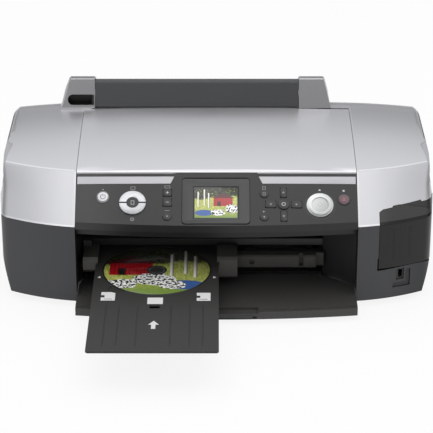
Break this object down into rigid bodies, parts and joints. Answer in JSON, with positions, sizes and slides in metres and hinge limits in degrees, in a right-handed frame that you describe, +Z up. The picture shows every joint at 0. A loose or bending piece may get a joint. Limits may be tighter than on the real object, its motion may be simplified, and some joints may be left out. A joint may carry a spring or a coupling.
{
  "type": "disc label printer",
  "caption": "Wide desktop photo printer with a tilting colour display, a hinged lid and a flat tray that carries a disc under the print head.",
  "frame": {"origin": "on the surface it stands on, at the plane of the feet, under the middle of the whole object's width and depth with the disc tray standing out in front", "axes": "+X to the right as seen from the front, +Y to the back, +Z up"},
  "size_m": [0.494, 0.4378, 0.193],
  "materials": {
    "silver": "satin",
    "dark_case": "matte",
    "dark_panel": "satin",
    "black": "matte",
    "tray_grey": "matte",
    "door_smoke": "gloss",
    "support_grey": "matte",
    "white_cap": "gloss",
    "silver_cap": "satin",
    "steel": "satin",
    "rubber": "matte",
    "board": "satin",
    "gear_white": "satin",
    "disc_print": "gloss",
    "screen": "gloss",
    "ink": "satin",
    "felt": "matte"
  },
  "bodies": {
    "case": {"base_frame": "black", "lower_case": "dark_case", "upper_case": "silver", "side_cover_left": "dark_case", "side_cover_right": "dark_case", "rear_cover": "dark_case", "panel_housing": "dark_panel", "panel_trim": "silver", "button_board": "board", "card_reader": "black", "disc_guide": "black", "carriage_shaft": "steel", "mechanism_frame": "steel", "timing_belt": "rubber", "drive_motors": "steel", "star_wheels": "black", "platen": "black", "capping_station": "black", "waste_ink_pad": "felt", "main_board": "board", "power_supply": "black", "feeder_frame": "black", "feet": "rubber", "case_screws": "steel"},
    "lid": {"lid": "silver"},
    "display": {"lcd_bezel": "dark_panel", "lcd_screen": "screen"},
    "card_door": {"card_door": "door_smoke"},
    "output_tray": {"output_tray": "tray_grey"},
    "tray_extension": {"tray_extension": "tray_grey"},
    "disc_tray": {"disc_tray": "tray_grey", "disc": "disc_print"},
    "carriage": {"carriage": "black", "ink_cartridges": "ink"},
    "motor_pulley": {"motor_pulley": "steel"},
    "idler_pulley": {"idler_pulley": "gear_white"},
    "feed_roller": {"feed_roller": "steel"},
    "motor_pinion": {"motor_pinion": "gear_white"},
    "idler_gear": {"idler_gear": "gear_white"},
    "eject_roller": {"eject_roller": "rubber"},
    "pickup_roller": {"pickup_roller": "rubber"},
    "paper_support": {"paper_support": "support_grey"},
    "edge_guide": {"edge_guide": "black"},
    "power_button": {"power_button": "white_cap"},
    "setup_button": {"setup_button": "dark_panel"},
    "settings_button": {"settings_button": "dark_panel"},
    "back_button": {"back_button": "dark_panel"},
    "ok_button": {"ok_button": "dark_panel"},
    "start_button": {"start_button": "silver_cap"},
    "stop_button": {"stop_button": "dark_panel"},
    "zoom_in_key": {"zoom_in_key": "dark_panel"},
    "zoom_out_key": {"zoom_out_key": "dark_panel"},
    "up_key": {"up_key": "dark_panel"},
    "down_key": {"down_key": "dark_panel"},
    "left_key": {"left_key": "dark_panel"},
    "right_key": {"right_key": "dark_panel"},
    "mode_button_upper": {"mode_button_upper": "silver_cap"},
    "mode_button_lower": {"mode_button_lower": "silver_cap"}
  },
  "joints": [
    {"name": "lid_hinge", "type": "hinge", "parent": "case", "child": "lid", "pos_m": [0, 0.1662, 0.1579], "axis": [-1, 0, 0], "range_deg": [0, 60]},
    {"name": "display_tilt", "type": "hinge", "parent": "case", "child": "display", "pos_m": [-0.0007, 0.00712, 0.13657], "axis": [-1, 0, 0], "range_deg": [0, 35]},
    {"name": "card_door_hinge", "type": "hinge", "parent": "case", "child": "card_door", "pos_m": [0.181, -0.0252, 0.051], "axis": [0.905, 0.4254, 0], "range_deg": [0, 90]},
    {"name": "output_tray_hinge", "type": "hinge", "parent": "case", "child": "output_tray", "pos_m": [0, 0.02, 0.0136], "axis": [-1, 0, 0], "range_deg": [0, 12]},
    {"name": "tray_extension_slide", "type": "slide", "parent": "output_tray", "child": "tray_extension", "axis": [0, -1, 0], "range_m": [0, 0.055]},
    {"name": "disc_tray_slide", "type": "slide", "parent": "case", "child": "disc_tray", "axis": [0, 1, 0], "range_m": [-0.05, 0.165]},
    {"name": "carriage_slide", "type": "slide", "parent": "case", "child": "carriage", "axis": [-1, 0, 0], "range_m": [0, 0.298]},
    {"name": "motor_pulley_spin", "type": "hinge", "parent": "case", "child": "motor_pulley", "pos_m": [0.19, 0.1235, 0.092], "axis": [0, 1, 0], "continuous": true},
    {"name": "idler_pulley_spin", "type": "hinge", "parent": "case", "child": "idler_pulley", "pos_m": [-0.188, 0.1235, 0.092], "axis": [0, 1, 0], "continuous": true},
    {"name": "feed_roller_spin", "type": "hinge", "parent": "case", "child": "feed_roller", "pos_m": [0, 0.1235, 0.038], "axis": [1, 0, 0], "continuous": true},
    {"name": "motor_pinion_spin", "type": "hinge", "parent": "case", "child": "motor_pinion", "pos_m": [-0.209, 0.14517, 0.05493], "axis": [1, 0, 0], "continuous": true},
    {"name": "idler_gear_spin", "type": "hinge", "parent": "case", "child": "idler_gear", "pos_m": [-0.209, 0.07653, 0.04509], "axis": [1, 0, 0], "continuous": true},
    {"name": "eject_roller_spin", "type": "hinge", "parent": "case", "child": "eject_roller", "pos_m": [0, 0.0345, 0.0388], "axis": [1, 0, 0], "continuous": true},
    {"name": "pickup_roller_spin", "type": "hinge", "parent": "case", "child": "pickup_roller", "pos_m": [0, 0.1555, 0.074], "axis": [1, 0, 0], "continuous": true},
    {"name": "paper_support_hinge", "type": "hinge", "parent": "case", "child": "paper_support", "pos_m": [0, 0.211, 0.171], "axis": [-1, 0, 0], "range_deg": [0, 120]},
    {"name": "edge_guide_slide", "type": "slide", "parent": "case", "child": "edge_guide", "axis": [1, 0, 0], "range_m": [0, 0.11]},
    {"name": "power_button_press", "type": "slide", "parent": "case", "child": "power_button", "axis": [0, 0.5983, -0.8013], "range_m": [0, 0.001], "stiffness_N_per_m": 300},
    {"name": "setup_button_press", "type": "slide", "parent": "case", "child": "setup_button", "axis": [0, 0.5608, -0.8279], "range_m": [0, 0.001], "stiffness_N_per_m": 300},
    {"name": "settings_button_press", "type": "slide", "parent": "case", "child": "settings_button", "axis": [0, 0.5603, -0.8283], "range_m": [0, 0.001], "stiffness_N_per_m": 300},
    {"name": "back_button_press", "type": "slide", "parent": "case", "child": "back_button", "axis": [0, 0.5602, -0.8283], "range_m": [0, 0.001], "stiffness_N_per_m": 300},
    {"name": "ok_button_press", "type": "slide", "parent": "case", "child": "ok_button", "axis": [0, 0.5679, -0.8231], "range_m": [0, 0.001], "stiffness_N_per_m": 300},
    {"name": "start_button_press", "type": "slide", "parent": "case", "child": "start_button", "axis": [0, 0.59, -0.8074], "range_m": [0, 0.001], "stiffness_N_per_m": 300},
    {"name": "stop_button_press", "type": "slide", "parent": "case", "child": "stop_button", "axis": [0, 0.6109, -0.7917], "range_m": [0, 0.001], "stiffness_N_per_m": 300},
    {"name": "zoom_in_key_press", "type": "slide", "parent": "case", "child": "zoom_in_key", "axis": [0, 0.5608, -0.8279], "range_m": [0, 0.001], "stiffness_N_per_m": 300},
    {"name": "zoom_out_key_press", "type": "slide", "parent": "case", "child": "zoom_out_key", "axis": [0, 0.5608, -0.8279], "range_m": [0, 0.001], "stiffness_N_per_m": 300},
    {"name": "up_key_press", "type": "slide", "parent": "case", "child": "up_key", "axis": [0, 0.5679, -0.8231], "range_m": [0, 0.001], "stiffness_N_per_m": 300},
    {"name": "down_key_press", "type": "slide", "parent": "case", "child": "down_key", "axis": [0, 0.5679, -0.8231], "range_m": [0, 0.001], "stiffness_N_per_m": 300},
    {"name": "left_key_press", "type": "slide", "parent": "case", "child": "left_key", "axis": [0, 0.5625, -0.8268], "range_m": [0, 0.001], "stiffness_N_per_m": 300},
    {"name": "right_key_press", "type": "slide", "parent": "case", "child": "right_key", "axis": [0, 0.5745, -0.8185], "range_m": [0, 0.001], "stiffness_N_per_m": 300},
    {"name": "mode_button_upper_press", "type": "slide", "parent": "case", "child": "mode_button_upper", "axis": [0, 0.5768, -0.8169], "range_m": [0, 0.001], "stiffness_N_per_m": 300},
    {"name": "mode_button_lower_press", "type": "slide", "parent": "case", "child": "mode_button_lower", "axis": [0, 0.5768, -0.8169], "range_m": [0, 0.001], "stiffness_N_per_m": 300}
  ],
  "couplings": [
    {"joint": "motor_pulley_spin", "follows": "carriage_slide", "rad_per_m": 131.58},
    {"joint": "idler_pulley_spin", "follows": "carriage_slide", "rad_per_m": 131.58},
    {"joint": "motor_pinion_spin", "follows": "feed_roller_spin", "ratio": -2.6667},
    {"joint": "idler_gear_spin", "follows": "feed_roller_spin", "ratio": -0.72727},
    {"joint": "eject_roller_spin", "follows": "feed_roller_spin", "ratio": 1.3333}
  ]
}
